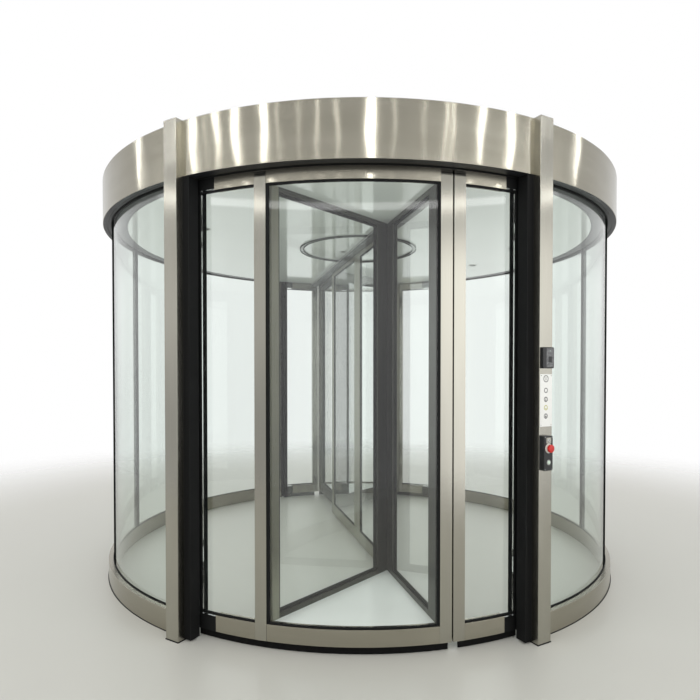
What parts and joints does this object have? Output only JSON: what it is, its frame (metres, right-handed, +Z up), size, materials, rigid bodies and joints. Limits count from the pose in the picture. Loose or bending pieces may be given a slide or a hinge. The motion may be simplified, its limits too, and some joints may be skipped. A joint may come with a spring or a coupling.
{
  "type": "automatic revolving door",
  "caption": "Automatic revolving door: a curved glass drum under a stainless canopy, round a rotor with glazed showcases and sliding doors between them.",
  "frame": {"origin": "rotor axis at floor level", "axes": "+Z up along the rotor axis, the front entrance towards -Y, +X to the right seen from the front"},
  "size_m": [3.7396, 3.74, 2.646],
  "materials": {
    "satin_stainless": "vertical hairline satin",
    "clear_glass": "clear laminated glass, faintly green",
    "black_rubber": "ribbed matt rubber",
    "black_brush": "dense nylon brush",
    "black_profile": "satin black powder coat",
    "dark_profile": "dark satin anodised",
    "white_panel": "gloss white lacquer",
    "ceiling_panel": "light satin coat",
    "primed_steel": "grey primer",
    "black_plastic": "gloss black moulding",
    "white_plate": "satin white plate",
    "red_plastic": "gloss red moulding"
  },
  "bodies": {
    "drum": {"plinth_left": "satin_stainless", "plinth_right": "satin_stainless", "wall_glass_left": "clear_glass", "wall_glass_right": "clear_glass", "wall_mullions": "black_profile", "post_front_left": "satin_stainless", "post_front_right": "satin_stainless", "post_back_left": "satin_stainless", "post_back_right": "satin_stainless", "edge_seals_front": "black_rubber", "edge_seals_back": "black_rubber", "fascia_front": "satin_stainless", "fascia_back": "satin_stainless", "fascia_left": "satin_stainless", "fascia_right": "satin_stainless", "soffit_ring": "black_profile", "canopy_frame": "primed_steel", "canopy_roof": "primed_steel", "card_reader": "black_plastic", "notice_plate": "white_plate", "control_box": "black_plastic"},
    "rotor": {"access_panel_back": "satin_stainless", "access_panel_front": "satin_stainless", "apex_post_back": "dark_profile", "apex_post_front": "dark_profile", "centre_ring": "satin_stainless", "end_seals_back": "black_rubber", "end_seals_front": "black_rubber", "floor_brushes_back": "black_brush", "floor_brushes_front": "black_brush", "rotor_ceiling": "ceiling_panel", "rotor_frame": "primed_steel", "shell_frame_back": "satin_stainless", "shell_frame_front": "satin_stainless", "shell_glass_back": "clear_glass", "shell_glass_front": "clear_glass", "showcase_floor_back": "white_panel", "showcase_floor_front": "white_panel", "showcase_glass_back": "clear_glass", "showcase_glass_front": "clear_glass", "showcase_roof_back": "white_panel", "showcase_roof_front": "white_panel", "showcase_walls_back": "dark_profile", "showcase_walls_front": "dark_profile", "wing_header": "dark_profile"},
    "leaf_front": {"leaf_frame_front": "dark_profile", "leaf_glass_front": "clear_glass"},
    "leaf_back": {"leaf_frame_back": "dark_profile", "leaf_glass_back": "clear_glass"},
    "stop_button": {"stop_button": "red_plastic"}
  },
  "joints": [
    {"name": "rotor_spin", "type": "hinge", "parent": "drum", "child": "rotor", "pos_m": [0, 0, 0], "axis": [0, 0, 1], "continuous": true},
    {"name": "leaf_front_slide", "type": "slide", "parent": "rotor", "child": "leaf_front", "axis": [0.2672, -0.9636, 0], "range_m": [0, 0.74]},
    {"name": "leaf_back_slide", "type": "slide", "parent": "rotor", "child": "leaf_back", "axis": [-0.2672, 0.9636, 0], "range_m": [0, 0.74]},
    {"name": "stop_button_push", "type": "slide", "parent": "drum", "child": "stop_button", "axis": [-0.4962, 0.8682, 0], "range_m": [0, 0.003], "stiffness_N_per_m": 1000}
  ],
  "couplings": [
    {"joint": "leaf_back_slide", "follows": "leaf_front_slide", "ratio": 1}
  ]
}
